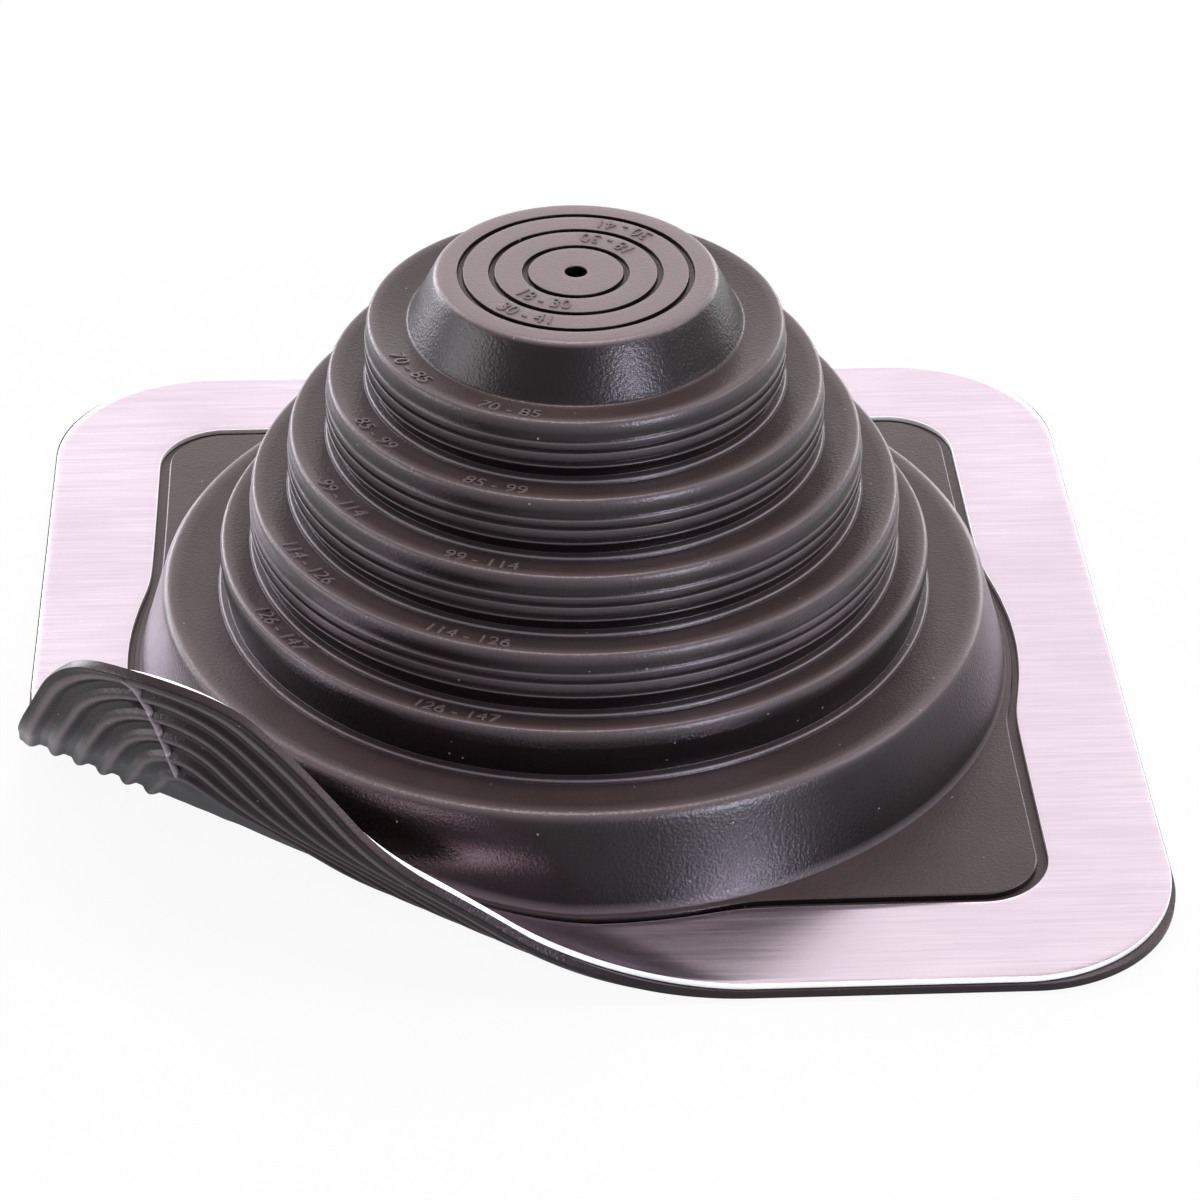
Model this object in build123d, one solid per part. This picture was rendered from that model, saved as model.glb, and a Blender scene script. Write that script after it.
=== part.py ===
from build123d import *
from math import cos, degrees, hypot, pi, radians, sin, sqrt, tan
import os

# Pipe flashing boot for a roof: a stepped rubber cone on a square rubber base, and a soft
# aluminium frame bonded on top of the base. One corner of the base is curled up.
# Millimetres. The origin is the middle of the underside, the base lies in X and Y, +Z is up.
# The curled corner is the one at -X and -Y.

# Cone: the closed cap and the steps that are cut off to fit the pipe, from the middle out.
# Heights add up from the skirt to the cap.
wall = 2.5
pilot_radius = 2.0
disc_radius = 25.0
ring_insets = (4.4, 10.0, 16.0)
ring_width = 0.9
ring_depth = 0.6
cap_lean = 5.1
cap_rise = 8.9
first_tread = 7.4
step_count = 4
step_run = 7.27
last_run = 6.1
last_extra = 0.77
lowest_rise = 9.61
tread_dish = 1.1

# Rounded edges, each as wide as the first size and as deep as the second
disc_edge = (1.0, 1.0)
nose_edge = (1.2, 2.4)
skirt_edge = (1.6, 1.8)
edge_chords = 2

# Wall under each step's nose, from the nose down: a smooth face, a ledge, grooved bands that
# guide the knife, an undercut and a bead at the foot
face_height = 3.6
ledge_reach = 0.3
upper_band = 1.3
groove_width = 0.65
groove_depth = 0.6
groove_pitch = 2.55
groove_count = 2
lower_band = 0.6
undercut_height = 2.43
undercut_depth = 1.0
bead_reach = 0.5
bead_height = 0.7

# Skirt between the cone and the base
skirt_height = 21.0
skirt_run = 10.69
skirt_lean = 5.4

# Base: a rubber sheet with a raised platform, and an aluminium frame round the platform
sheet_thickness = 1.2
frame_thickness = 1.1
bond_gap = 0.05
frame_width = 21.1
frame_neck = 16.6
opening_corner = 13.0
frame_setback = 0.4
frame_rounding = 2.0
platform_gap = 2.0
platform_margin = 1.5
platform_proud = 0.1

# Underside of the base, from its edge in: a thicker edge and ribs that hold the sealant
lip_width = 0.8
lip_height = 0.5
rib_height = 1.0
rib_foot = 1.8
rib_crest = 0.9
rib_first = 2.0
rib_pitch = 4.2
rib_count = 6
rib_corner = 4.1

# Curl of the corner: the sheet is straight up to a fold line under the skirt, then follows
# these arcs, each a length and the degrees that it turns up. The far corner is also spread
# sideways.
fold_direction = 36.0
fold_inset = 13.9
curl_arcs = ((24.3, 57.0), (9.7, -4.0), (10.0, 36.0), (12.7, -6.0), (7.8, -45.0))
spread = 6.9
spread_edge = 41.6
spread_length = 65.0
strip_width = 3.0
track_points = 33

# Worked out from the above, across
cap_foot_radius = disc_radius + cap_lean
first_radius = cap_foot_radius + first_tread
last_radius = first_radius + (step_count - 1) * step_run + last_run
skirt_top_radius = last_radius + skirt_run
skirt_foot_radius = skirt_top_radius + skirt_lean
bore_radius = skirt_foot_radius - wall
platform_radius = skirt_foot_radius + platform_margin
opening_radius = platform_radius + platform_gap
base_side = 2 * (opening_radius + frame_neck)
opening_side = base_side - 2 * frame_width
platform_side = opening_side - 2 * platform_gap
platform_corner = opening_corner - platform_gap
base_corner = rib_first + (rib_count - 1) * rib_pitch + rib_foot / 2 + rib_corner
half = base_side / 2
frame_side = base_side - 2 * frame_setback
frame_corner = base_corner + frame_rounding

# Worked out from the above, up
groove_start = face_height + ledge_reach + upper_band
undercut_start = groove_start + (groove_count - 1) * groove_pitch + groove_width + lower_band
step_rise = undercut_start + undercut_height + bead_height - tread_dish
last_height = skirt_height + lowest_rise
first_height = last_height + last_extra + step_count * step_rise
disc_height = first_height + cap_rise
sheet_bottom = rib_height
sheet_top = sheet_bottom + sheet_thickness
frame_bottom = sheet_top + bond_gap
frame_top = frame_bottom + frame_thickness
platform_top = frame_top + platform_proud

# The fold line's distance from the axis, and the angles from the X axis of the fold's
# direction and of the curled corner's diagonal
fold_start = skirt_foot_radius - fold_inset
fold_angle = radians(fold_direction)
fold_heading = -pi / 2 - fold_angle
corner_heading = -3 * pi / 4


def noses():
    # Radius and height of each step's nose, from the top down
    steps = [(first_radius + i * step_run, first_height - i * step_rise) for i in range(step_count)]
    return steps + [(last_radius, last_height)]


def feet():
    # Height at which the wall under each nose meets the tread below it
    lower = [height for radius, height in noses()[1:]] + [skirt_height]
    return [height - tread_dish for height in lower]


def foot_of_wall(radius, foot):
    return [(radius - undercut_depth, foot + bead_height), (radius + bead_reach, foot)]


def plain_wall(radius, height, foot):
    # The lowest step has no grooves
    return [(radius, height - face_height)] + foot_of_wall(radius, foot)


def grooved_wall(radius, height, foot):
    band = radius + ledge_reach
    points = [(radius, height - face_height), (band, height - face_height - ledge_reach)]
    for i in range(groove_count):
        top = height - groove_start - i * groove_pitch
        points += [(band, top), (band - groove_depth, top - groove_width / 2), (band, top - groove_width)]
    return points + [(band, height - undercut_start)] + foot_of_wall(radius, foot)


def rounded(before, corner, after, edge):
    # A convex corner of an outline, rounded in a few chords of a curve tangent to both sides
    back, down = edge
    middle = Vector(*corner)
    first = middle + (Vector(*before) - middle).normalized() * back
    last = middle + (Vector(*after) - middle).normalized() * down
    places = []
    for i in range(edge_chords + 1):
        share = i / edge_chords
        point = first * (1 - share) ** 2 + middle * (2 * share * (1 - share)) + last * share**2
        places.append((point.X, point.Y))
    return places


def disc_outline():
    # The top disc, from the middle out, with its three ring grooves
    outline = [(0, disc_height)]
    for inset in reversed(ring_insets):
        radius = disc_radius - inset
        inner, outer = radius - ring_width / 2, radius + ring_width / 2
        outline += [(inner, disc_height), (radius, disc_height - ring_depth), (outer, disc_height)]
    return outline


def cone_outside():
    # Solid of revolution with the outer form of the boot, down to the sheet
    steps, foot_heights = noses(), feet()
    cap_foot = (cap_foot_radius, first_height - tread_dish)
    outline = disc_outline()
    outline += rounded(outline[-1], (disc_radius, disc_height), cap_foot, disc_edge)
    outline.append(cap_foot)
    for i, (radius, height) in enumerate(steps):
        shape = plain_wall if i == len(steps) - 1 else grooved_wall
        below = shape(radius, height, foot_heights[i])
        outline += rounded(outline[-1], (radius, height), below[0], nose_edge) + below
    skirt_foot = (skirt_foot_radius, platform_top)
    outline += rounded(outline[-1], (skirt_top_radius, skirt_height), skirt_foot, skirt_edge)
    outline += [skirt_foot, (skirt_foot_radius, sheet_bottom), (0, sheet_bottom)]
    section = make_face(Polyline([(x, 0, z) for x, z in outline], close=True))
    return revolve(section, Axis.Z)


def cone_inside():
    # The space inside: it follows the steps at the wall's thickness and runs out of the underside
    top = disc_height - wall
    steps, foot_heights = noses(), feet()
    outline = [(0, top), (disc_radius - wall, top)]
    previous = cap_foot_radius
    treads = [first_height - tread_dish] + foot_heights
    for (radius, height), tread in zip(steps + [(skirt_top_radius, skirt_height)], treads):
        outline += [(previous - wall, tread - wall), (radius - wall, tread - wall)]
        previous = radius
    outline += [(bore_radius, platform_top), (bore_radius, -rib_height), (0, -rib_height)]
    hollow = revolve(make_face(Polyline([(x, 0, z) for x, z in outline], close=True)), Axis.Z)
    return hollow + Pos(0, 0, disc_height) * Cylinder(pilot_radius, 4 * wall)


def slab(side, corner, bottom, top):
    return extrude(Pos(0, 0, bottom) * RectangleRounded(side, side, corner), top - bottom)


def rounded_opening(side, corner, radius, bottom, top):
    # A rounded square that swells to a circle in the middle of each side
    return slab(side, corner, bottom, top) + Pos(0, 0, (bottom + top) / 2) * Cylinder(radius, top - bottom)


def rib_section(inset):
    # Section of a rib on the underside: distances in from the base's edge, and heights
    foot, crest = rib_foot / 2, rib_crest / 2
    return [(inset - foot, sheet_bottom), (inset - crest, 0), (inset + crest, 0), (inset + foot, sheet_bottom)]


def underside_sections():
    low = sheet_bottom - lip_height
    lip = [(0, sheet_bottom), (0, low), (lip_width, low), (lip_width, sheet_bottom)]
    return [lip] + [rib_section(rib_first + i * rib_pitch) for i in range(rib_count)]


def ring_of(section):
    # The section carried round the base's outline
    path = RectangleRounded(base_side, base_side, base_corner).face().outer_wire()
    profile = make_face(Polyline([(half - inset, 0, z) for inset, z in section], close=True))
    return sweep(profile, path)


def bend(x, y, z):
    # Where a point of the flat sheet goes when the corner is curled
    along = -x * sin(fold_angle) - y * cos(fold_angle)
    across = x * cos(fold_angle) - y * sin(fold_angle)
    reach, rise, turn = min(along, fold_start), 0.0, 0.0
    start = fold_start
    for i, (length, angle) in enumerate(curl_arcs):
        past = max(along - start, 0)
        if i < len(curl_arcs) - 1:
            past = min(past, length)
        rate = radians(angle) / length
        reach += (sin(turn + rate * past) - sin(turn)) / rate
        rise += (cos(turn) - cos(turn + rate * past)) / rate
        turn += rate * past
        start += length
    reach -= z * sin(turn)
    rise += z * cos(turn)
    side = max((spread_edge - half - x) / spread_edge, 0) ** 2
    share = min(max((along - fold_start) / spread_length, 0), 1)
    shift = spread * side * share**2 * (3 - 2 * share)
    return (
        -reach * sin(fold_angle) + across * cos(fold_angle) - shift,
        -reach * cos(fold_angle) - across * sin(fold_angle),
        rise,
    )


def square_reach(side, corner):
    # Distance from the middle to a rounded square, as a function of the direction
    straight = side / 2 - corner

    def reach(angle):
        turned = abs((angle + pi / 4) % (pi / 2) - pi / 4)
        if side / 2 * tan(turned) <= straight:
            return side / 2 / cos(turned)
        off = pi / 4 - turned
        middle = straight * sqrt(2)
        return middle * cos(off) + sqrt(corner**2 - (middle * sin(off)) ** 2)

    return reach


def inset_reach(inset):
    return square_reach(base_side - 2 * inset, base_corner - inset)


def opening_reach(side, corner, radius):
    square = square_reach(side, corner)
    return lambda angle: max(square(angle), radius)


def between(outer, inner, count):
    # Tracks spaced evenly from one to the other, both ends included
    def track(share):
        return lambda angle: (1 - share) * outer(angle) + share * inner(angle)

    return [track(i / count) for i in range(count + 1)]


def fold_crossing(reach, side):
    # Direction in which a track crosses the fold line, on one side of the curl
    near, far = radians(15), radians(89)
    for _ in range(60):
        middle = (near + far) / 2
        if reach(fold_heading + side * middle) * cos(middle) > fold_start:
            near = middle
        else:
            far = middle
    return fold_heading + side * near


def track_edge(reach, z):
    # One line of the curled sheet, from the fold line round the corner and back to it
    first, last = fold_crossing(reach, 1), fold_crossing(reach, -1)
    count = track_points // 2
    angles = [first + (corner_heading - first) * i / count for i in range(count)]
    angles += [corner_heading + (last - corner_heading) * i / count for i in range(count + 1)]
    return Spline([bend(reach(a) * cos(a), reach(a) * sin(a), z) for a in angles])


def curled_solid(tracks):
    # A closed solid from a ring of tracks: ruled strips between neighbours and two flat ends
    edges = [track_edge(reach, z) for reach, z in tracks]
    strips = [Face.make_surface_from_curves(a, b) for a, b in zip(edges, edges[1:] + edges[:1])]
    ends = [make_face(Polyline([edge @ at for edge in edges], close=True)).face() for at in (0, 1)]
    return Solid(Shell(strips + ends))


def strips_across(outer, inner):
    gap = outer(corner_heading) - inner(corner_heading)
    return max(round(gap / strip_width), 1)


def frame_tracks():
    # Lines across the frame's width, shared by the frame and the rubber under it
    outer = square_reach(frame_side, frame_corner)
    inner = opening_reach(opening_side, opening_corner, opening_radius)
    return between(outer, inner, strips_across(outer, inner))


def curled_frame():
    lines = frame_tracks()
    top = [(line, frame_top) for line in lines]
    bottom = [(line, frame_bottom) for line in reversed(lines)]
    return curled_solid(top + bottom)


def curled_rubber():
    # Round the section: top under the frame, platform, inner end, then back along the underside
    inner_radius = (fold_start + bore_radius) / 2
    inner = lambda angle: inner_radius
    platform = opening_reach(platform_side, platform_corner, platform_radius)
    tracks = [(inset_reach(0), sheet_top)] + [(line, sheet_top) for line in frame_tracks()]
    tracks.append((platform, sheet_top))
    tracks += [(line, platform_top) for line in between(platform, inner, strips_across(platform, inner))]
    under = [(inset, z) for section in underside_sections() for inset, z in section]
    last = inset_reach(under[-1][0])
    smooth = between(last, inner, strips_across(last, inner))
    tracks += [(line, sheet_bottom) for line in reversed(smooth[1:])]
    return curled_solid(tracks + [(inset_reach(inset), z) for inset, z in reversed(under)])


def beyond_fold():
    # The space past the fold line, where the flat base is cut away
    size = 2 * base_side
    block = Pos(fold_start + size / 2, 0, 0) * Box(size, size, size)
    return Rot(0, 0, degrees(fold_heading)) * block


def below_curl():
    # The space under the middle of the lifted sheet, where the foot of the skirt is lifted too
    middle = (sheet_bottom + sheet_top) / 2
    length = curl_arcs[0][0]
    steps = 12
    line = []
    for i in range(steps + 1):
        along = fold_start + length * i / steps
        x, y, z = bend(along * cos(fold_heading), along * sin(fold_heading), middle)
        line.append((hypot(x, y), 0, z))
    floor = -rib_height
    outline = [(fold_start, 0, floor), *line, (line[-1][0], 0, floor)]
    side = make_face(Polyline(outline, close=True))
    return Rot(0, 0, degrees(fold_heading)) * extrude(side, bore_radius, both=True)


def aluminium_frame():
    ring = slab(frame_side, frame_corner, frame_bottom, frame_top)
    ring -= rounded_opening(opening_side, opening_corner, opening_radius, frame_bottom, frame_top)
    return ring - beyond_fold() + curled_frame()


def rubber_boot():
    base = slab(base_side, base_corner, sheet_bottom, sheet_top)
    base += rounded_opening(platform_side, platform_corner, platform_radius, sheet_top, platform_top)
    for section in underside_sections():
        base += ring_of(section)
    base -= beyond_fold()
    cone = cone_outside() - below_curl()
    return base + curled_rubber() + cone - cone_inside()


parts = {"rubber_boot": rubber_boot(), "aluminium_frame": aluminium_frame()}
os.makedirs("parts", exist_ok=True)
for name, shape in parts.items():
    export_step(shape, f"parts/{name}.step")
    print(name, "solids", len(shape.solids()), "volume", round(shape.volume))
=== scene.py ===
from math import cos, hypot, pi, radians, sin, sqrt, tan

import bpy
from mathutils import Matrix, Vector


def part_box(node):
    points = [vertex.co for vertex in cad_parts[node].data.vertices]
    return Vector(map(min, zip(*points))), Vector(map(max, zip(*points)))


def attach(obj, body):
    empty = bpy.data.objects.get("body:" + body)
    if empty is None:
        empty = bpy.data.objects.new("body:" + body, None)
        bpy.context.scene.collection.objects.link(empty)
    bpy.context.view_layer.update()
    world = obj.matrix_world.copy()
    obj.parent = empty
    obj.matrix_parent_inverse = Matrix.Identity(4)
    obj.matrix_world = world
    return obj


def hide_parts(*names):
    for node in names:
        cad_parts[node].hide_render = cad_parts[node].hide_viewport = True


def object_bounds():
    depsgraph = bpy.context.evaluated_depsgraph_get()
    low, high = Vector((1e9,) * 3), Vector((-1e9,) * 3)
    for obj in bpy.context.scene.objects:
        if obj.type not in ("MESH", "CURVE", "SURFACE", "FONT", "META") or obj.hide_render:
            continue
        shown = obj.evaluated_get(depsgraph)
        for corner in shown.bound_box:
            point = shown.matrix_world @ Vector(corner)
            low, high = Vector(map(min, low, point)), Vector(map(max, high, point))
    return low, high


# Pipe flashing boot: a stepped rubber cone on a square base with an aluminium frame, one
# corner curled up. Sizes below are in millimetres, Blender's are in metres.
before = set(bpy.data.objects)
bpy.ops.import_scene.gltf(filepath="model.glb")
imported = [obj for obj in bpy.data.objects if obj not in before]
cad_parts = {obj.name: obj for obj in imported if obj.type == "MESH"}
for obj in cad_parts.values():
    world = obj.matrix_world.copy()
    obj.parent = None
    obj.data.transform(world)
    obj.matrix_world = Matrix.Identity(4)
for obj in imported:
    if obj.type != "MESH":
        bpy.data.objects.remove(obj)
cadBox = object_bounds()
mm = 0.001
print("frame loaded")


# Camera and studio

cameraSettings = {
    "distance": 752,        # from the middle of the base
    "elevation": 34.96,     # degrees above the floor
    "azimuth": -2.95,       # degrees round from straight in front
    "roll": 0.39,
    "lens": 119.13,
    "shift": (0.0223, 0.0503),
    "clipStart": 10,
}


def viewAxes(azimuth, elevation):
    back = Vector((sin(azimuth) * cos(elevation), -cos(azimuth) * cos(elevation), sin(elevation)))
    right = Vector((cos(azimuth), sin(azimuth), 0))
    return right, back.cross(right), back


def addCamera(settings):
    right, up, back = viewAxes(radians(settings["azimuth"]), radians(settings["elevation"]))
    roll = radians(settings["roll"])
    rolledRight = right * cos(roll) + up * sin(roll)
    rolledUp = up * cos(roll) - right * sin(roll)
    camera = bpy.data.objects.new("camera", bpy.data.cameras.new("camera"))
    turn = Matrix((rolledRight, rolledUp, back)).transposed()
    camera.matrix_world = Matrix.Translation(back * settings["distance"] * mm) @ turn.to_4x4()
    camera.data.lens = settings["lens"]
    camera.data.shift_x, camera.data.shift_y = settings["shift"]
    camera.data.clip_start = settings["clipStart"] * mm
    bpy.context.scene.collection.objects.link(camera)
    bpy.context.scene.camera = camera


# Each lamp: compass direction from the front, height angle, distance and size in mm, strength
# of its face, where 1 is a white wall
lamps = {
    "backLow": {
        "azimuth": 178, "elevation": 13, "distance": 1300,
        "size": (2200, 380), "face": 1.85, "colour": "#ffffff",
    },
    "backCard": {
        "azimuth": 178, "elevation": 39, "distance": 1300,
        "size": (2000, 720), "face": 0.545, "colour": "#ffffff",
    },
    "backLeftLow": {
        "azimuth": -138, "elevation": 8, "distance": 1000,
        "size": (700, 250), "face": 10.0, "colour": "#f4f6ff",
    },
    "backLeftHigh": {
        "azimuth": -135, "elevation": 35, "distance": 1000,
        "size": (500, 400), "face": 4.4, "colour": "#f4f6ff",
    },
    "backRightLow": {
        "azimuth": 138, "elevation": 8, "distance": 1000,
        "size": (700, 250), "face": 5.4, "colour": "#ffffff",
    },
    "overhead": {
        "azimuth": 178, "elevation": 82, "distance": 1000,
        "size": (520, 320), "face": 10.6, "colour": "#fff4ee",
    },
    "leftCard": {
        "azimuth": -84, "elevation": 12, "distance": 1000,
        "size": (600, 400), "face": 4.7, "colour": "#ffffff",
    },
    "rightCard": {
        "azimuth": 88, "elevation": 36, "distance": 1000,
        "size": (500, 500), "face": 3.2, "colour": "#ffffff",
    },
    "frontStrip": {
        "azimuth": 36, "elevation": 14, "distance": 900,
        "size": (90, 360), "face": 56.0, "colour": "#e8eeff",
    },
}
lampAim = 30                # height that they all point at


def linear(colour):
    # an sRGB hex colour as Blender's linear RGBA
    parts = [int(colour[i:i + 2], 16) / 255 for i in (1, 3, 5)]
    return [p / 12.92 if p <= 0.04045 else ((p + 0.055) / 1.055) ** 2.4 for p in parts] + [1]


def addLamp(name, settings):
    lamp = bpy.data.lights.new(name, "AREA")
    lamp.shape = "RECTANGLE"
    width, height = (side * mm for side in settings["size"])
    lamp.size, lamp.size_y = width, height
    lamp.energy = settings["face"] * pi * width * height
    lamp.color = linear(settings["colour"])[:3]
    right, up, back = viewAxes(radians(settings["azimuth"]), radians(settings["elevation"]))
    stand = bpy.data.objects.new(name, lamp)
    turn = Matrix((right, up, back)).transposed()
    place = Vector((0, 0, lampAim * mm)) + back * settings["distance"] * mm
    stand.matrix_world = Matrix.Translation(place) @ turn.to_4x4()
    bpy.context.scene.collection.objects.link(stand)


def addNode(tree, kind, settings=None, links=None):
    # one node: its properties, and the values and links of its sockets by name or number
    node = tree.nodes.new(kind)
    for key, value in (settings or {}).items():
        if isinstance(key, int) or key in node.inputs.keys():
            node.inputs[key].default_value = value
        else:
            setattr(node, key, value)
    for key, source in (links or {}).items():
        tree.links.new(source, node.inputs[key])
    return node


def whiteToTheEye(tree, surface, white, seen, mirrored):
    # the camera sees white, mixed over the lit surface, and so does what mirrors it
    path = addNode(tree, "ShaderNodeLightPath")
    rays = {"Is Camera Ray": seen, "Is Glossy Ray": mirrored, "Is Transmission Ray": mirrored}
    shares = []
    for ray, share in rays.items():
        settings = {"operation": "MULTIPLY", 1: share}
        shares.append(addNode(tree, "ShaderNodeMath", settings, {0: path.outputs[ray]}).outputs[0])
    total = shares[0]
    for share in shares[1:]:
        larger = {"operation": "MAXIMUM"}
        total = addNode(tree, "ShaderNodeMath", larger, {0: total, 1: share}).outputs[0]
    return addNode(tree, "ShaderNodeMixShader", None, {0: total, 1: surface, 2: white}).outputs[0]


studio = {
    "floorSide": 6000,
    "under": 0.02,          # a hair under the ribs
    "floorColour": "#e6e6e6",
    "floorWhite": 0.93,     # of the floor's white, the share that needs no light
    "floorMirrored": 0.12,  # the same for what the metal and rubber mirror of it
    "mirrored": 0.38,       # and of the white round the studio
    "fill": 0.02,
}


def addFloor(settings):
    side = settings["floorSide"] * mm / 2
    mesh = bpy.data.meshes.new("floor")
    corners = [(-side, -side, 0), (side, -side, 0), (side, side, 0), (-side, side, 0)]
    mesh.from_pydata(corners, [], [(0, 1, 2, 3)])
    floor = bpy.data.objects.new("floor", mesh)
    floor.location.z = cadBox[0][2] - settings["under"] * mm
    bpy.context.scene.collection.objects.link(floor)
    material = bpy.data.materials.new("matt white paper")
    material.use_nodes = True
    tree = material.node_tree
    tree.nodes.clear()
    paper = addNode(tree, "ShaderNodeBsdfDiffuse", {"Color": linear(settings["floorColour"])}).outputs[0]
    white = addNode(tree, "ShaderNodeEmission", {"Strength": 1.0}).outputs[0]
    both = whiteToTheEye(tree, paper, white, settings["floorWhite"], settings["floorMirrored"])
    addNode(tree, "ShaderNodeOutputMaterial", None, {"Surface": both})
    mesh.materials.append(material)


def addWorld(settings):
    world = bpy.data.worlds.new("studio")
    bpy.context.scene.world = world
    world.use_nodes = True
    tree = world.node_tree
    tree.nodes.clear()
    pure = linear("#ffffff")
    fill = addNode(tree, "ShaderNodeBackground", {"Color": pure, "Strength": settings["fill"]}).outputs[0]
    white = addNode(tree, "ShaderNodeBackground", {"Color": pure, "Strength": 1.0}).outputs[0]
    both = whiteToTheEye(tree, fill, white, 1.0, settings["mirrored"])
    addNode(tree, "ShaderNodeOutputWorld", None, {"Surface": both})


# Materials

epdm = {
    "colour": "#0d0706",
    "bloomAndToplightColour": "#45393a",   # a dry, slightly chalky bloom and painted light from above, on the faces that lie upwards
    "bloomAndToplightSpan": (0.35, 0.95),  # how far up a face looks where the bloom and painted light begin and are full
    "bloomAndToplightPatchy": (0.8, 1.1),  # its strength, from the thin patches to the thick ones
    # painted highlights: the colour that the noses, beads, band edges, disc and rib crests go towards
    "highlightColour": "#9c8e90",
    "roughness": (0.26, 0.38),
    "specular": 0.46,
    "specularTint": "#fff4fb",
    "grain": 0.55,          # the mould's spark-eroded grain, drawn a little coarser than real
    "grainDepth": 0.15,
    "grainBump": 0.6,
    "clouds": 9.0,          # size of the faint cloudy patches
    "cloudSpan": (0.2, 0.8),    # what their noise really reaches
    "speckApart": 5.0,      # bright specks of dust, and their size as a share of that
    "speckSize": 0.04,
    "speckColour": "#8d807c",
}


def mouldedEpdm(settings):
    # EPDM rubber, compression moulded: near black and slightly warm, a satin skin with the
    # mould's fine grain, a grey bloom and painted light from above on the faces that lie upwards,
    # and painted highlights that make the edges paler
    material = bpy.data.materials.new("EPDM rubber, compression moulded")
    material.use_nodes = True
    tree = material.node_tree
    shader = tree.nodes["Principled BSDF"]
    place = {"Vector": addNode(tree, "ShaderNodeTexCoord").outputs["Object"]}

    scale = {"Scale": 1 / (settings["grain"] * mm), "Detail": 3.0}
    grain = addNode(tree, "ShaderNodeTexNoise", scale, place).outputs["Fac"]
    depth = {"Strength": settings["grainBump"], "Distance": settings["grainDepth"] * mm}
    bump = addNode(tree, "ShaderNodeBump", depth, {"Height": grain})
    tree.links.new(bump.outputs["Normal"], shader.inputs["Normal"])

    scale = {"Scale": 1 / (settings["clouds"] * mm), "Detail": 4.0}
    clouds = {"Value": addNode(tree, "ShaderNodeTexNoise", scale, place).outputs["Fac"]}
    low, high = settings["roughness"]
    rough = addNode(tree, "ShaderNodeMapRange", {"To Min": low, "To Max": high}, clouds)
    tree.links.new(rough.outputs[0], shader.inputs["Roughness"])

    # painted light from above, with a dry bloom: the faces that lie upwards are made paler
    normal = {"Vector": addNode(tree, "ShaderNodeNewGeometry").outputs["Normal"]}
    height = {"Value": addNode(tree, "ShaderNodeSeparateXYZ", None, normal).outputs["Z"]}
    low, high = settings["bloomAndToplightSpan"]
    span = {"interpolation_type": "SMOOTHSTEP", "From Min": low, "From Max": high}
    upward = addNode(tree, "ShaderNodeMapRange", span, height)
    least, most = settings["cloudSpan"]
    low, high = settings["bloomAndToplightPatchy"]
    span = {"From Min": least, "From Max": most, "To Min": low, "To Max": high}
    patchy = addNode(tree, "ShaderNodeMapRange", span, clouds)
    factors = {0: upward.outputs[0], 1: patchy.outputs[0]}
    bloomAndToplight = addNode(tree, "ShaderNodeMath", {"operation": "MULTIPLY"}, factors)

    # the skin, over it the bloom and painted light from above, then the painted highlights, then the dust
    cells = addNode(tree, "ShaderNodeTexVoronoi", {"Scale": 1 / (settings["speckApart"] * mm)}, place)
    small = {"operation": "LESS_THAN", 1: settings["speckSize"]}
    speck = addNode(tree, "ShaderNodeMath", small, {0: cells.outputs["Distance"]})
    paintedHighlight = addNode(tree, "ShaderNodeAttribute", {"attribute_name": "paintedHighlight"})
    layers = {"data_type": "RGBA", 6: linear(settings["colour"]), 7: linear(settings["bloomAndToplightColour"])}
    skin = addNode(tree, "ShaderNodeMix", layers, {0: bloomAndToplight.outputs[0]})
    layers = {"data_type": "RGBA", 7: linear(settings["highlightColour"])}
    edges = addNode(tree, "ShaderNodeMix", layers, {0: paintedHighlight.outputs["Fac"], 6: skin.outputs[2]})
    layers = {"data_type": "RGBA", 7: linear(settings["speckColour"])}
    dusty = addNode(tree, "ShaderNodeMix", layers, {0: speck.outputs[0], 6: edges.outputs[2]})
    tree.links.new(dusty.outputs[2], shader.inputs["Base Color"])

    shader.inputs["Specular IOR Level"].default_value = settings["specular"]
    shader.inputs["Specular Tint"].default_value = linear(settings["specularTint"])
    return material


mill = {
    "colour": "#ecd8e8",
    "streakColour": "#f8e8f4",
    "streakSpan": (0.14, 0.42),
    # the cut's white is partly a painted highlight
    "cutAndHighlightColour": "#ffffff",
    "cutRoughness": 0.4,    # more than the face's
    "roughness": (0.16, 0.30),
    "lineSpacing": 0.45,    # rolling lines across the sheet, drawn coarser than real
    "lineLength": 16.0,
    "lineDepth": 0.012,
    "lineBump": 0.6,
    "patch": 40.0,          # size of the faint paler patches
}


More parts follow.
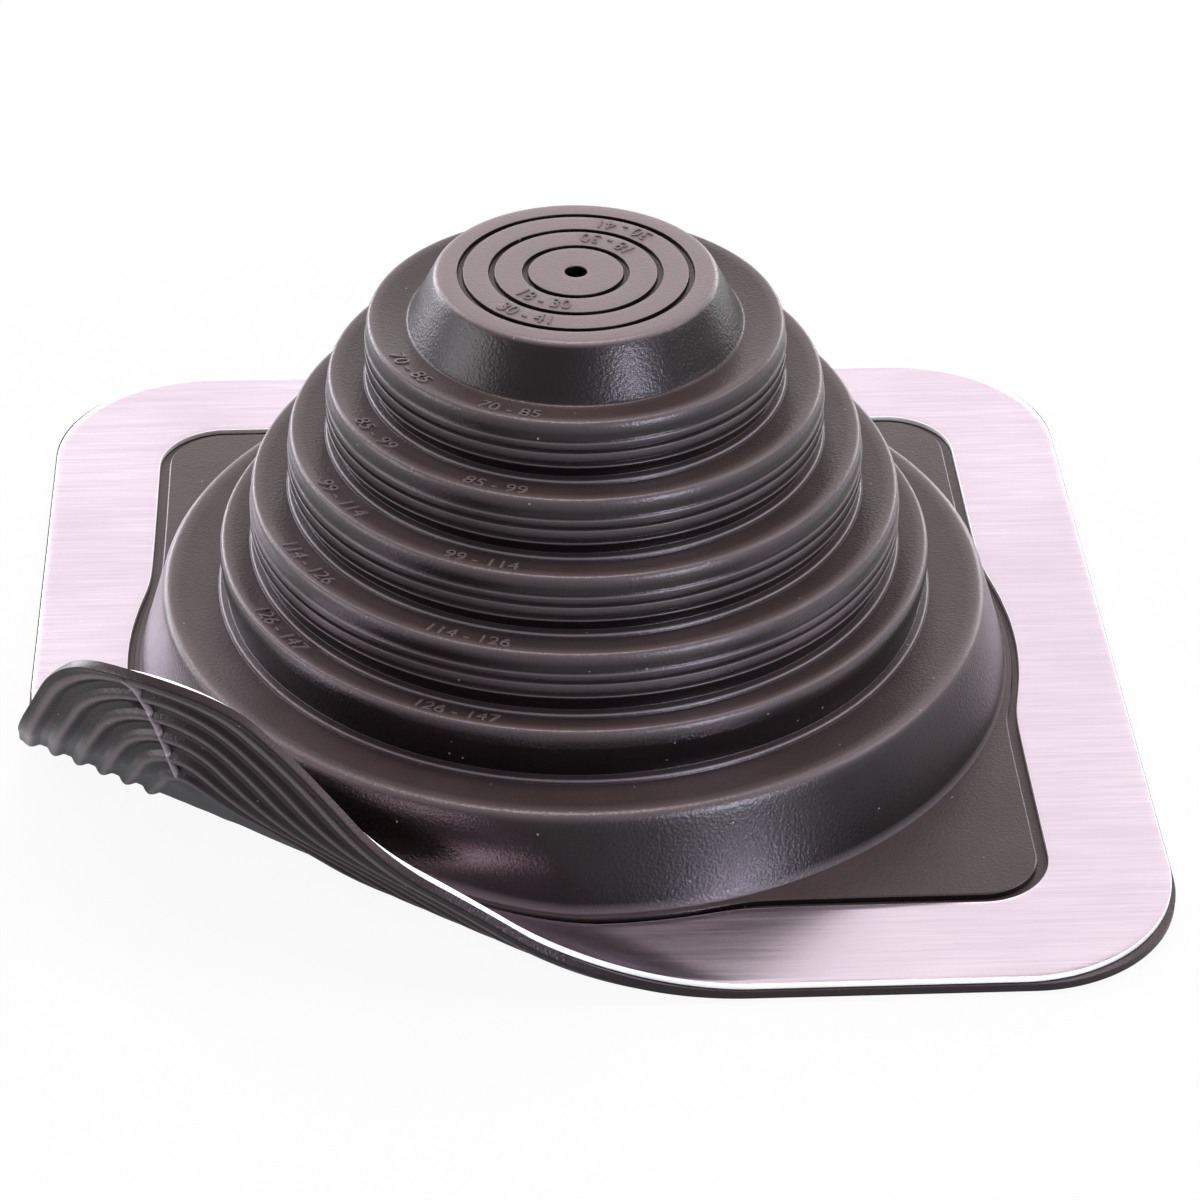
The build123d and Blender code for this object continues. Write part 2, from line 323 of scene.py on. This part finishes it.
def millAluminium(settings):
    # aluminium sheet, mill finish: bright, with fine rolling lines that run along X and draw
    # the reflections out across them, faint paler patches, and the sheared edge's bare cut, rougher,
    # with its colour painted white as a highlight
    material = bpy.data.materials.new("aluminium sheet, mill finish")
    material.use_nodes = True
    tree = material.node_tree
    shader = tree.nodes["Principled BSDF"]
    place = {"Vector": addNode(tree, "ShaderNodeTexCoord").outputs["Object"]}

    spacing, length = settings["lineSpacing"] * mm, settings["lineLength"] * mm
    stretch = addNode(tree, "ShaderNodeMapping", {"Scale": (1 / length, 1 / spacing, 1 / spacing)}, place)
    drawn = {"Vector": stretch.outputs[0]}
    lines = addNode(tree, "ShaderNodeTexNoise", {"Scale": 1.0, "Detail": 4.0}, drawn).outputs["Fac"]
    depth = {"Strength": settings["lineBump"], "Distance": settings["lineDepth"] * mm}
    bump = addNode(tree, "ShaderNodeBump", depth, {"Height": lines})
    tree.links.new(bump.outputs["Normal"], shader.inputs["Normal"])

    cut = addNode(tree, "ShaderNodeAttribute", {"attribute_name": "paintedHighlight"}).outputs["Fac"]
    low, high = settings["roughness"]
    rough = addNode(tree, "ShaderNodeMapRange", {"To Min": low, "To Max": high}, {"Value": lines})
    torn = {"operation": "MULTIPLY_ADD", 1: settings["cutRoughness"]}
    rough = addNode(tree, "ShaderNodeMath", torn, {0: cut, 2: rough.outputs[0]})
    tree.links.new(rough.outputs[0], shader.inputs["Roughness"])

    scale = {"Scale": 1 / (settings["patch"] * mm), "Detail": 2.0}
    patches = addNode(tree, "ShaderNodeTexNoise", scale, place).outputs["Fac"]
    both = addNode(tree, "ShaderNodeMath", {"operation": "MULTIPLY"}, {0: lines, 1: patches})
    low, high = settings["streakSpan"]
    span = {"From Min": low, "From Max": high}
    paler = addNode(tree, "ShaderNodeMapRange", span, {"Value": both.outputs[0]})
    layers = {"data_type": "RGBA", 6: linear(settings["colour"]), 7: linear(settings["streakColour"])}
    face = addNode(tree, "ShaderNodeMix", layers, {0: paler.outputs[0]})
    layers = {"data_type": "RGBA", 7: linear(settings["cutAndHighlightColour"])}
    colour = addNode(tree, "ShaderNodeMix", layers, {0: cut, 6: face.outputs[2]})
    tree.links.new(colour.outputs[2], shader.inputs["Base Color"])

    shader.inputs["Metallic"].default_value = 1.0
    return material


# The curl of the corner

curl = {
    "direction": 36.0,      # of the fold, degrees from -Y towards -X
    "start": 67.6,          # where the sheet leaves the floor, from the cone's axis
    # length of each stretch, and the degrees that it turns
    "arcs": ((24.3, 57.0), (9.7, -4.0), (10.0, 36.0), (12.7, -6.0), (7.8, -45.0)),
    "spread": 6.9,          # how far the corner is spread sideways
    "spreadEdge": 41.6,
    "spreadLength": 65.0,
    "skirtGives": 18.0,     # height at which the skirt no longer follows the lifted sheet
}

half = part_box("rubber_boot")[1][0] / mm
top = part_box("rubber_boot")[1][2] / mm
numberHeight = 0.25         # of the raised numbers, which end at the full height
discTop = top - numberHeight


def smooth(share):
    share = min(max(share, 0), 1)
    return share ** 2 * (3 - 2 * share)


def bend(x, y, z):
    # where a point of the flat sheet goes when the corner is curled
    angle = radians(curl["direction"])
    along = -x * sin(angle) - y * cos(angle)
    across = x * cos(angle) - y * sin(angle)
    begin = curl["start"]
    reach, rise, turn = min(along, begin), 0.0, 0.0
    for i, (length, degrees) in enumerate(curl["arcs"]):
        past = max(along - begin, 0)
        if i < len(curl["arcs"]) - 1:
            past = min(past, length)
        rate = radians(degrees) / length
        reach += (sin(turn + rate * past) - sin(turn)) / rate
        rise += (cos(turn) - cos(turn + rate * past)) / rate
        turn += rate * past
        begin += length
    reach -= z * sin(turn)
    rise += z * cos(turn)
    side = max((curl["spreadEdge"] - half - x) / curl["spreadEdge"], 0) ** 2
    shift = curl["spread"] * side * smooth((along - curl["start"]) / curl["spreadLength"])
    return (
        -reach * sin(angle) + across * cos(angle) - shift,
        -reach * cos(angle) - across * sin(angle),
        rise,
    )


def settle(x, y, z):
    # the foot of the skirt is carried up with the sheet, the rest of the cone stays
    share = smooth((curl["skirtGives"] - z) / (curl["skirtGives"] - sheet["platformTop"]))
    moved = bend(x, y, z)
    return tuple(a + (b - a) * share for a, b in zip((x, y, z), moved))


# Outlines and meshes

sharpFrom = 38              # degrees between faces that meet in a crisp edge


def soften(corners, chords=5):
    # an outline of (across, up, back, ahead): each corner is rounded from so far before it to
    # so far after it, or stays sharp without them
    places = []
    for i, corner in enumerate(corners):
        here = Vector(corner[:2])
        if len(corner) == 2 or i in (0, len(corners) - 1):
            places.append(tuple(here))
            continue
        back, ahead = corner[2], corner[-1]
        first = here + (Vector(corners[i - 1][:2]) - here).normalized() * back
        last = here + (Vector(corners[i + 1][:2]) - here).normalized() * ahead
        for step in range(chords + 1):
            share = step / chords
            pull = here * (2 * share * (1 - share))
            places.append(tuple(first * (1 - share) ** 2 + pull + last * share ** 2))
    return places


def divided(outline, longest):
    # more points on the long straight stretches
    places = [outline[0]]
    for (a, b), (c, d) in zip(outline, outline[1:]):
        count = max(round(hypot(c - a, d - b) / longest), 1)
        places += [(a + (c - a) * i / count, b + (d - b) * i / count) for i in range(1, count + 1)]
    return places


def addPiece(name, mesh, highlightShares, material):
    # for each vertex, how far its colour goes to the painted highlight, and on the frame to the cut's white
    mesh.attributes.new("paintedHighlight", "FLOAT", "POINT").data.foreach_set("value", highlightShares)
    mesh.materials.append(material)
    piece = bpy.data.objects.new(name, mesh)
    bpy.context.scene.collection.objects.link(piece)
    return piece


def ringMesh(name, rings, highlightShares, material):
    # rings: for each ring, its points, as many on each. The last ring joins the first.
    count = len(rings[0])
    faces = []
    for i in range(len(rings)):
        low, high = i * count, (i + 1) % len(rings) * count
        for j in range(count):
            k = (j + 1) % count
            faces.append((low + j, low + k, high + k, high + j))
    mesh = bpy.data.meshes.new(name)
    mesh.from_pydata([Vector(point) * mm for ring in rings for point in ring], [], faces)
    mesh.shade_smooth()
    mesh.set_sharp_from_angle(angle=radians(sharpFrom))
    return addPiece(name, mesh, highlightShares, material)


# The stepped cone

cone = {
    "wall": 2.5,
    "pilot": 2.0,
    "discRadius": 25.0,
    "ringInsets": (4.4, 10.0, 16.0),
    "ringWidth": 1.15,
    "ringDepth": 0.9,
    "capLean": 5.1,
    "capRise": 8.9,
    "firstTread": 7.4,
    "stepRun": 7.27,
    "stepRise": 11.03,
    "stepCount": 4,
    "lastRun": 6.1,
    "lastRise": 11.8,
    "treadDish": 1.1,
    "face": 3.6,
    "ledge": 0.3,
    "grooveStart": 5.2,
    "grooveWidth": 0.7,
    "grooveDepth": 0.95,
    "groovePitch": 2.55,
    "grooveCount": 2,
    "undercutStart": 9.0,
    "undercutRun": 0.6,     # its steep start, and the share of its depth at the end of that
    "undercutShare": 0.7,
    "undercutDepth": 1.0,
    "neck": 0.15,           # from its deepest place down to the bead
    "beadReach": 0.5,
    "beadHeight": 0.7,
    "skirtRun": 10.69,
    "skirtLean": 5.4,
    "skirtHeight": 21.0,
    "skirtSunk": 0.6,       # how far the skirt goes down into the platform
    "draft": 0.1,           # how far the sides of the rings and beads lean, the grooves' half that
    # how large each corner's rounding is, or how far it goes back and ahead
    "rounding": {
        "pilot": 0.25,
        "ringEdge": 0.12,
        "ringFloor": 0.15,
        "discEdge": 1.0,
        "capFoot": 0.5,
        "nose": (1.2, 2.4),
        "face": 0.25,
        "ledge": 0.2,
        "groove": 0.1,
        "band": 0.2,
        "undercut": 0.4,
        "neck": 0.2,
        "bead": 0.3,
        "beadFoot": 0.15,
        "skirtNose": (1.6, 1.8),
        "skirtFoot": (0.5, 0.1),
        "inside": 1.2,
        "insideFoot": 1.0,
    },
    # where edges get a painted highlight: how far in and down from the corner, how wide, how much
    "highlitEdges": {
        "nose": (0.5, 0.2, 2.4, 0.26),
        "discEdge": (0.3, 0, 1.2, 0.65),
        "bead": (0, 0, 0.45, 1.0),
        "band": (0, 0, 0.35, 0.35),
        "skirtFoot": (0, -0.4, 0.6, 0.4),
    },
    "bandEdges": (4.0, 6.0, 8.5),   # depths under the nose of the edges that catch the light
    "discHighlight": 0.58,     # painted light: the disc is paler all over, down to this depth
    "discSkin": 0.05,
    "longest": 1.6,         # stretch without a point, outside and inside
    "longestInside": 3.5,
    "segments": 300,
}

sheet = {
    "ribHeight": 1.0,
    "rubber": 1.2,
    "bond": 0.05,
    "aluminium": 1.1,
    "proud": 0.1,
    "corner": 28.0,
    "openingSide": 160.6,
    "openingCorner": 13.0,
    "openingRadius": 83.7,
    "openingBlend": 1.2,
    "gap": 2.0,             # between the platform and the aluminium, less beside the skirt
    "skirtGap": 1.2,
    "setback": 0.4,         # from the rubber's edge to the aluminium's
    "rounding": 2.0,        # the aluminium's corners are rounder than the rubber's
    "slid": 1.5,            # how far the aluminium has slid back along the curl, and over what
    "slidOver": 22.0,       # distance from the fold
    "leastCorner": 0.5,
    "platformEdge": (0.25, 0.15, 0.2),  # its bevel: in, in beside the skirt, and down
    "underSkirt": 0.3,      # how far the platform's top goes in under the skirt
    "topSunk": 0.01,        # the top under the frame, below the rubber's edge
    "coneBelow": 0.02,      # the cone's foot ends this far below the sheet, so that the two meet
    "tracks": (12, 5, 8),   # of faces across the top, the bare underside and the platform
    "segments": 600,
}
sheet["bottom"] = sheet["ribHeight"]
sheet["top"] = sheet["bottom"] + sheet["rubber"]
sheet["frameBottom"] = sheet["top"] + sheet["bond"]
sheet["frameTop"] = sheet["frameBottom"] + sheet["aluminium"]
sheet["platformTop"] = sheet["frameTop"] + sheet["proud"]


def stepPlaces(c):
    # radius and height of each nose from the top down, and of the skirt's top edge
    radius, height = c["discRadius"] + c["capLean"] + c["firstTread"], top - c["capRise"]
    places = [(radius + i * c["stepRun"], height - i * c["stepRise"]) for i in range(c["stepCount"])]
    radius, height = places[-1]
    places.append((radius + c["lastRun"], height - c["lastRise"]))
    places.append((places[-1][0] + c["skirtRun"], c["skirtHeight"]))
    return places


def stepWall(c, radius, height, foot, grooved):
    # the wall under a nose, as corners with their roundings
    r, draft = c["rounding"], c["draft"]
    corners = [(radius, height, *r["nose"]), (radius, height - c["face"], r["face"])]
    if grooved:
        band = radius + c["ledge"]
        floor = band - c["grooveDepth"]
        corners.append((band, height - c["face"] - c["ledge"] - draft, r["ledge"]))
        for i in range(c["grooveCount"]):
            upper = height - c["grooveStart"] - i * c["groovePitch"]
            lower = upper - c["grooveWidth"]
            corners += [(band, upper, r["groove"]), (floor, upper - draft / 2, r["groove"])]
            corners += [(floor, lower, r["groove"]), (band, lower - draft / 2, r["band"])]
        start, end = height - c["undercutStart"], radius - c["undercutShare"] * c["undercutDepth"]
        corners.append((band, start, r["face"]))
        corners.append((end, start - c["undercutRun"], r["undercut"]))
    reach, bead = radius + c["beadReach"], foot + c["beadHeight"]
    corners.append((radius - c["undercutDepth"], bead + c["neck"], r["neck"]))
    corners.append((reach - draft, bead, r["bead"]))
    corners.append((reach + draft, foot, r["beadFoot"]))
    return corners


def outerCone(c):
    places, r, draft = stepPlaces(c), c["rounding"], c["draft"]
    corners = [(c["pilot"], top - c["wall"]), (c["pilot"], discTop, r["pilot"])]
    for inset in reversed(c["ringInsets"]):
        radius, side, floor = c["discRadius"] - inset, c["ringWidth"] / 2, discTop - c["ringDepth"]
        corners += [(radius - side, discTop, r["ringEdge"]), (radius - side + draft, floor, r["ringFloor"])]
        corners += [(radius + side - draft, floor, r["ringFloor"]), (radius + side, discTop, r["ringEdge"])]
    corners.append((c["discRadius"], discTop, r["discEdge"]))
    capFoot = c["discRadius"] + c["capLean"]
    corners.append((capFoot, places[0][1] - c["treadDish"], r["capFoot"]))
    for i, (radius, height) in enumerate(places[:-1]):
        foot = places[i + 1][1] - c["treadDish"]
        corners += stepWall(c, radius, height, foot, i < c["stepCount"])
    radius, height = places[-1]
    foot = radius + c["skirtLean"]
    corners.append((radius, height, *r["skirtNose"]))
    corners.append((foot, sheet["platformTop"], *r["skirtFoot"]))
    corners.append((foot + draft / 2, sheet["platformTop"] - c["skirtSunk"]))
    return corners


def innerCone(c):
    # the inside follows the steps at the wall's thickness, from the foot up to the pilot hole
    wall, places, inside = c["wall"], stepPlaces(c), c["rounding"]["inside"]
    foot = places[-1][0] + c["skirtLean"] - wall
    capFoot = c["discRadius"] + c["capLean"]
    corners = [(foot, sheet["bottom"] - sheet["coneBelow"])]
    corners.append((foot, sheet["platformTop"], c["rounding"]["insideFoot"]))
    for (radius, height), (above, _) in reversed(list(zip(places, [(capFoot, 0)] + places[:-1]))):
        level = height - c["treadDish"] - wall
        corners += [(radius - wall, level, inside), (above - wall, level, inside)]
    corners += [(c["discRadius"] - wall, top - wall, inside), (c["pilot"], top - wall)]
    return corners


def highlightsOf(c, outline):
    # painted highlights along the noses, the beads and the skirt's foot, by distance from their crests
    places = stepPlaces(c)

    def crest(edge, radius, height):
        inward, down, width, share = c["highlitEdges"][edge]
        return radius - inward, height - down, width, share

    crests = [crest("nose", radius, height) for radius, height in places]
    crests.append(crest("discEdge", c["discRadius"], discTop))
    for i, ((radius, height), (_, below)) in enumerate(zip(places, places[1:])):
        bead = below - c["treadDish"] + c["beadHeight"]
        crests.append(crest("bead", radius + c["beadReach"], bead))
        if i < c["stepCount"]:
            crests += [crest("band", radius + c["ledge"], height - depth) for depth in c["bandEdges"]]
    crests.append(crest("skirtFoot", places[-1][0] + c["skirtLean"], sheet["platformTop"]))
    highlightShares = []
    for x, z in outline:
        shares = [share * smooth(1 - hypot(x - a, z - b) / width) for a, b, width, share in crests]
        if z > discTop - c["discSkin"] and x < c["discRadius"]:
            shares.append(c["discHighlight"])
        highlightShares.append(max(shares))
    return highlightShares


def buildCone(c, material):
    outside = divided(soften(outerCone(c)), c["longest"])
    inside = divided(soften(innerCone(c), chords=3), c["longestInside"])
    outline = outside + inside[:-1]
    angles = [2 * pi * i / c["segments"] for i in range(c["segments"])]
    rings = [[settle(r * cos(a), r * sin(a), z) for a in angles] for r, z in outline]
    highlightShares = [value for value in highlightsOf(c, outline) for _ in angles]
    return ringMesh("rubberCone", rings, highlightShares, material)


# Plain numbers, raised on the disc and the treads: the pipes, in millimetres, that each ring
# and step is cut for

numbers = {
    "size": 4.2,
    "middle": 0.36,         # of the size, from the digits' feet to their middle
    "discAt": (-122, 58),
    "treadAt": (-112, -150),    # degrees round from +X, the middles of the two on each tread
    "treadFrom": 1.6,       # from the nose in to the numbers' feet
    # the numbers are paler all over, in the painted highlights' colour
    "highlightShares": 0.38,
}


def raisedText(words, radius, azimuth, level):
    # vertices and faces of a number that runs round the axis at this radius, on the surface
    # whose height at a radius is level(radius)
    text = bpy.data.curves.new("number", "FONT")
    text.body, text.size, text.align_x = words, numbers["size"] * mm, "CENTER"
    text.extrude = numberHeight * mm
    holder = bpy.data.objects.new("number", text)
    mesh = bpy.data.meshes.new_from_object(holder)
    bpy.data.objects.remove(holder)
    vertices = []
    for vertex in mesh.vertices:
        across, up, out = (value / mm for value in vertex.co)
        angle = radians(azimuth) + across / radius
        r = radius - up
        vertices.append((r * cos(angle), r * sin(angle), level(r) + out))
    return vertices, [tuple(face.vertices) for face in mesh.polygons]


def buildNumbers(c, material):
    vertices, faces = [], []

    def add(words, radius, azimuth, level):
        places, corners = raisedText(words, radius, azimuth, level)
        faces.extend(tuple(len(vertices) + i for i in face) for face in corners)
        vertices.extend(Vector(place) * mm for place in places)

    rings = sorted(c["discRadius"] - inset for inset in c["ringInsets"])
    for low, high in zip(rings, rings[1:]):
        words = f"{round(2 * low)} - {round(2 * high)}"
        foot = (low + high) / 2 + numbers["middle"] * numbers["size"]
        for azimuth in numbers["discAt"]:
            add(words, foot, azimuth, lambda r: discTop)
    steps = stepPlaces(c)
    above = c["discRadius"] + c["capLean"]
    for i, (radius, height) in enumerate(steps[:-1]):
        slope = c["treadDish"] / (radius - above)
        level = lambda r, radius=radius, height=height, slope=slope: height - (radius - r) * slope
        words = f"{round(2 * (radius - c['wall']))} - {round(2 * (steps[i + 1][0] - c['wall']))}"
        for azimuth in numbers["treadAt"]:
            add(words, radius - numbers["treadFrom"], azimuth, level)
        above = radius
    mesh = bpy.data.meshes.new("raisedNumbers")
    mesh.from_pydata(vertices, [], faces)
    return addPiece("raisedNumbers", mesh, [numbers["highlightShares"]] * len(vertices), material)


# The base sheet and its ribs

ribs = {
    "lipHeight": 0.5,       # the sheet is a little thicker at its edge
    "lipEdge": 0.4,
    "lipFoot": 0.3,
    "first": 2.0,
    "pitch": 4.2,
    "count": 6,
    "foot": 2.9,
    "crest": 0.8,
    "footRounding": 0.25,
    "crestRounding": 0.55,
    "inner": 2.0,           # the bare sheet past the last rib starts this far before the next place
    # painted highlights on the rib crests, how strong
    "crestHighlight": 0.36,
    "crestHighlightReach": 0.25,      # height over the crest that the painted highlight goes up to
    "mitreWidth": 0.2,      # degrees either side of a corner's diagonal
    "mitreHeight": 0.2,     # above the crests, where it is clear of the floor
    "mitreFrom": 1.0,       # how far in from the edge it begins and ends
    "mitreTo": 22.5,
    # beside a diagonal, in widths of the line: more on the small hole's side
    "closeLines": (*range(-10, 3), 5, 10),
    "closeTo": 1.6,         # degrees either side of it without the even ones
    "pit": (-88.8, -86.4),  # a small hole in the curled corner, on the flat sheet
    "pitSize": (2.0, 1.1),
    "pitLean": 45,
    "pitDepth": 1.0,
    "pitSteep": 1.6,
    "pitNear": 0.1,         # radians from the diagonal that hold it
    "longest": 0.45,        # stretch without a point
}


def squareReach(side, corner):
    # distance from the middle to a rounded square, as a function of the direction
    straight = side / 2 - corner

    def reach(angle):
        turned = abs((angle + pi / 4) % (pi / 2) - pi / 4)
        if side / 2 * tan(turned) <= straight:
            return side / 2 / cos(turned)
        off = pi / 4 - turned
        middle = straight * sqrt(2)
        return middle * cos(off) + sqrt(max(corner ** 2 - (middle * sin(off)) ** 2, 0))

    return reach


def insetReach(inset):
    return squareReach(2 * (half - inset), max(sheet["corner"] - inset, sheet["leastCorner"]))


def frameReach(inset):
    # the aluminium's outer edge: along the curl it has slid back over the rubber
    side = 2 * (half - sheet["setback"] - inset)
    flat = squareReach(side, sheet["corner"] + sheet["rounding"] - inset)
    fold = radians(curl["direction"])

    def reach(angle):
        r = flat(angle)
        past = -r * (cos(angle) * sin(fold) + sin(angle) * cos(fold)) - curl["start"]
        return r - sheet["slid"] * smooth(past / sheet["slidOver"])

    return reach


def openingReach(grow, swell=None):
    # the opening's rounded square swells to a circle in the middle of each side, and the two
    # blend without a kink
    square = squareReach(sheet["openingSide"] + 2 * grow, sheet["openingCorner"] + grow)
    radius = sheet["openingRadius"] + (grow if swell is None else swell)

    def reach(angle):
        apart = square(angle) - radius
        return radius + (apart + sqrt(apart ** 2 + sheet["openingBlend"] ** 2)) / 2

    return reach


def between(outer, inner, share):
    return lambda angle: (1 - share) * outer(angle) + share * inner(angle)


def sheetAngles():
    # even steps round the sheet, with close lines at each diagonal and beside the small hole
    count, fine = sheet["segments"], ribs["mitreWidth"]
    angles = [2 * pi * i / count for i in range(count)]
    for corner in range(4):
        diagonal = pi / 4 + corner * pi / 2
        angles = [a for a in angles if abs(a - diagonal) > radians(ribs["closeTo"])]
        angles += [diagonal + radians(fine * k) for k in ribs["closeLines"]]
    return sorted(angles)


def underside():
    # from the rubber's top edge down round the lip and in over the ribs: (inset, height)
    bottom, lip = sheet["bottom"], sheet["bottom"] - ribs["lipHeight"]
    foot, crest = ribs["foot"] / 2, ribs["crest"] / 2
    low, high = ribs["footRounding"], ribs["crestRounding"]
    corners = [(0.0, sheet["top"]), (0.0, lip, ribs["lipEdge"])]
    corners.append((ribs["first"] - foot, lip, ribs["lipFoot"]))
    for i in range(ribs["count"]):
        middle = ribs["first"] + i * ribs["pitch"]
        if i:
            corners.append((middle - foot, bottom, low))
        corners += [(middle - crest, 0.0, high), (middle + crest, 0.0, high)]
        corners.append((middle + foot, bottom, low))
    corners.append((ribs["first"] + ribs["count"] * ribs["pitch"] - ribs["inner"], bottom))
    return corners


def pitDepth(x, y):
    # how deep the small hole is here
    lean = radians(ribs["pitLean"])
    across, along = x - ribs["pit"][0], y - ribs["pit"][1]
    u, v = across * cos(lean) - along * sin(lean), across * sin(lean) + along * cos(lean)
    apart = hypot(u / ribs["pitSize"][0], v / ribs["pitSize"][1])
    return ribs["pitDepth"] * smooth(ribs["pitSteep"] * (1 - apart))


def mitreShare(angle, inset):
    # how near a place is to the thin raised line on a corner's diagonal
    off = abs(angle % (pi / 2) - pi / 4)
    if not ribs["mitreFrom"] < inset < ribs["mitreTo"]:
        return 0
    return max(1 - off / radians(ribs["mitreWidth"]), 0)


def buildBase(c, material):
    angles = sheetAngles()
    skirt = stepPlaces(c)[-1][0] + c["skirtLean"]
    bore, foot = (lambda angle: skirt - c["wall"]), (lambda angle: skirt - sheet["underSkirt"])
    edge, skirtEdge, down = sheet["platformEdge"]
    outer, opening = insetReach(0), openingReach(0)
    platform = openingReach(-sheet["gap"], -sheet["skirtGap"])
    crown = openingReach(-sheet["gap"] - edge, -sheet["skirtGap"] - skirtEdge)
    outline = divided(soften(underside(), chords=3), ribs["longest"])
    last = insetReach(outline[-1][0])
    # the top under the frame, the edge and the ribs, the bare underside in to the bore, and
    # the platform
    onTop, bare, over = sheet["tracks"]
    tracks = [(between(opening, outer, i / onTop), sheet["top"] - sheet["topSunk"]) for i in range(onTop)]
    tracks += [(insetReach(inset), z) for inset, z in outline]
    tracks += [(between(last, bore, i / bare), sheet["bottom"]) for i in range(1, bare + 1)]
    tracks += [(between(foot, crown, i / over), sheet["platformTop"]) for i in range(over + 1)]
    tracks += [(platform, sheet["platformTop"] - down), (platform, sheet["top"])]
    rings, highlightShares = [], []
    for reach, z in tracks:
        ring = []
        for a in angles:
            r = max(reach(a), bore(a))
            x, y, low, line = r * cos(a), r * sin(a), z, 0
            if z <= sheet["bottom"]:
                line = mitreShare(a, outer(a) - r)
                low = z * (1 - line)    # the thin web fills the valleys up to the crests
                if abs(a - 5 * pi / 4) < ribs["pitNear"]:   # the curled corner
                    low += pitDepth(x, y) - ribs["mitreHeight"] * line
            ring.append(bend(x, y, low))
            # painted highlights on the rib crests, and the mitre line painted paler in the same colour
            highlightShares.append(max(line, ribs["crestHighlight"] * smooth(1 - z / ribs["crestHighlightReach"])))
        rings.append(ring)
    return ringMesh("rubberBase", rings, highlightShares, material)


# The aluminium frame

frameSheet = {
    "edge": 0.18,           # the rounding of the cut edges, and a first small bevel on top
    "bevel": 0.05,
    "tracks": 15,
}


def buildFrame(settings, material):
    angles = sheetAngles()
    e, bevel, count = settings["edge"], settings["bevel"], settings["tracks"]
    low, high = sheet["frameBottom"], sheet["frameTop"]
    outer, opening = frameReach(e), openingReach(e)
    # each track: its outline, its height, and 1 where the sheet is cut
    tracks = [(between(outer, opening, i / count), high, 0) for i in range(count + 1)]
    tracks += [(openingReach(bevel), high - bevel, 1), (openingReach(0), high - e, 1)]
    tracks += [(openingReach(0), low + e, 1), (openingReach(e), low, 0)]
    tracks += [(between(opening, outer, i / count), low, 0) for i in range(1, count + 1)]
    tracks += [(frameReach(0), low + e, 1), (frameReach(0), high - e, 1)]
    tracks.append((frameReach(bevel), high - bevel, 1))
    tracks.reverse()
    rings = [[bend(r(a) * cos(a), r(a) * sin(a), z) for a in angles] for r, z, cut in tracks]
    # the cut edges: rougher, and white as a painted highlight
    highlightShares = [cut for r, z, cut in tracks for _ in angles]
    return ringMesh("frameSheet", rings, highlightShares, material)


# Making it all

bpy.context.scene.view_settings.view_transform = "Standard"
addCamera(cameraSettings)
addWorld(studio)
addFloor(studio)
for lampName, lampSettings in lamps.items():
    addLamp(lampName, lampSettings)
print("studio ready")

rubber = mouldedEpdm(epdm)
aluminium = millAluminium(mill)
print("materials ready")

for piece, slot in (
    (buildCone(cone, rubber), "rubber"),
    (buildBase(cone, rubber), "rubber"),
    (buildNumbers(cone, rubber), "rubber"),
    (buildFrame(frameSheet, aluminium), "aluminium"),
):
    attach(piece, "root")
    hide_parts("aluminium_frame" if slot == "aluminium" else "rubber_boot")
    print(piece.name, "faces", len(piece.data.polygons))
